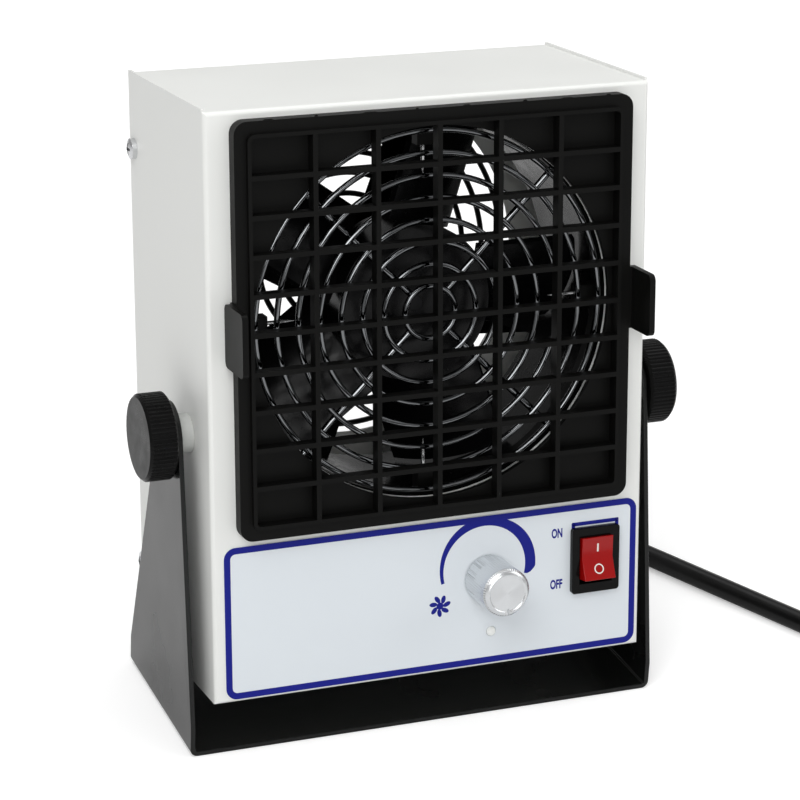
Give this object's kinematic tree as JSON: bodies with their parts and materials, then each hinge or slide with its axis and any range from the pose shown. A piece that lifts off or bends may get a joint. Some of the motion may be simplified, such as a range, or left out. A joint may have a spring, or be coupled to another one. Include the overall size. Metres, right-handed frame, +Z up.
{
  "type": "ionizing air blower",
  "caption": "Bench-top ionizing air blower: tilting white metal fan box in a black U-shaped stand, with grid filter cover, rocker switch, speed knob, clamp knobs and mains lead.",
  "frame": {"origin": "middle of the stand's underside, on the table", "axes": "+X to the operator's right, +Y to the back (the air leaves towards -Y), +Z up"},
  "size_m": [0.3323, 0.1822, 0.1965],
  "materials": {
    "stand_enamel": "semi-gloss black enamel",
    "white_enamel": "white powder coat, fine satin",
    "screw_chrome": "bright nickel plate",
    "label": "satin printed polycarbonate",
    "black_plastic": "moulded, matt",
    "cover_plastic": "moulded, semi-matt",
    "bright_wire": "bright nickel-plated wire",
    "black_wire": "black coated wire",
    "fan_black": "moulded, matt",
    "motor_black": "black lacquer",
    "impeller_black": "glossy moulded",
    "zinc_steel": "zinc plate",
    "needle_steel": "ground, bright",
    "potting": "black potting compound",
    "circuit_board": "green solder mask",
    "switch_black": "moulded, glossy",
    "rocker_red": "translucent red",
    "lamp_lens": "clear lens, unlit",
    "spacer_grey": "grey nylon",
    "turned_aluminium": "spun face, bright",
    "knob_black": "moulded, fluted rim",
    "cord": "smooth PVC",
    "plug": "moulded PVC",
    "brass_pins": "plain"
  },
  "bodies": {
    "stand": {"bracket": "stand_enamel", "cord_drop": "cord", "cord_run": "cord", "cord_coil": "cord", "cord_tail": "cord", "plug_body": "plug", "plug_pins": "brass_pins"},
    "housing": {"front_housing": "white_enamel", "rear_cover": "white_enamel", "housing_screws": "screw_chrome", "control_label": "label", "filter_base": "black_plastic", "front_guard": "bright_wire", "rear_guard": "black_wire", "fan_frame": "fan_black", "fan_motor": "motor_black", "fan_screws": "zinc_steel", "emitter_frame": "black_plastic", "emitter_needles": "needle_steel", "high_voltage_module": "potting", "control_board": "circuit_board", "board_standoffs": "brass_pins", "potentiometer": "zinc_steel", "pot_nut": "zinc_steel", "switch_body": "switch_black", "switch_terminals": "brass_pins", "lamp": "lamp_lens", "pivot_inserts": "zinc_steel", "spacers": "spacer_grey", "strain_relief": "cord"},
    "cover": {"filter_cover": "cover_plastic"},
    "fan": {"impeller": "impeller_black", "fan_shaft": "needle_steel"},
    "dial": {"speed_knob": "turned_aluminium", "pot_shaft": "zinc_steel"},
    "switch": {"rocker": "rocker_red"},
    "knob_left": {"tilt_knob_left": "knob_black", "tilt_stud_left": "zinc_steel"},
    "knob_right": {"tilt_knob_right": "knob_black", "tilt_stud_right": "zinc_steel"}
  },
  "joints": [
    {"name": "tilt", "type": "hinge", "parent": "stand", "child": "housing", "pos_m": [0, -0.0042, 0.0945], "axis": [1, 0, 0], "range_deg": [-10, 45], "deforming": ["cord_drop"]},
    {"name": "fan_spin", "type": "hinge", "parent": "housing", "child": "fan", "pos_m": [0, 0.00993, 0.12754], "axis": [0, 0.9914, -0.1305], "continuous": true},
    {"name": "speed_turn", "type": "hinge", "parent": "housing", "child": "dial", "pos_m": [0.018, -0.03886, 0.04803], "axis": [0, 0.9914, -0.1305], "range_deg": [-150, 150]},
    {"name": "power_rock", "type": "hinge", "parent": "housing", "child": "switch", "pos_m": [0.0538, -0.0291, 0.04866], "axis": [1, 0, 0], "range_deg": [0, 20]},
    {"name": "cover_pull", "type": "slide", "parent": "housing", "child": "cover", "axis": [0, -0.9914, 0.1305], "range_m": [0, 0.04]},
    {"name": "left_clamp", "type": "hinge", "parent": "housing", "child": "knob_left", "pos_m": [-0.08, -0.0042, 0.0945], "axis": [1, 0, 0], "range_deg": [-360, 0]},
    {"name": "right_clamp", "type": "hinge", "parent": "housing", "child": "knob_right", "pos_m": [0.08, -0.0042, 0.0945], "axis": [1, 0, 0], "range_deg": [0, 360]}
  ]
}
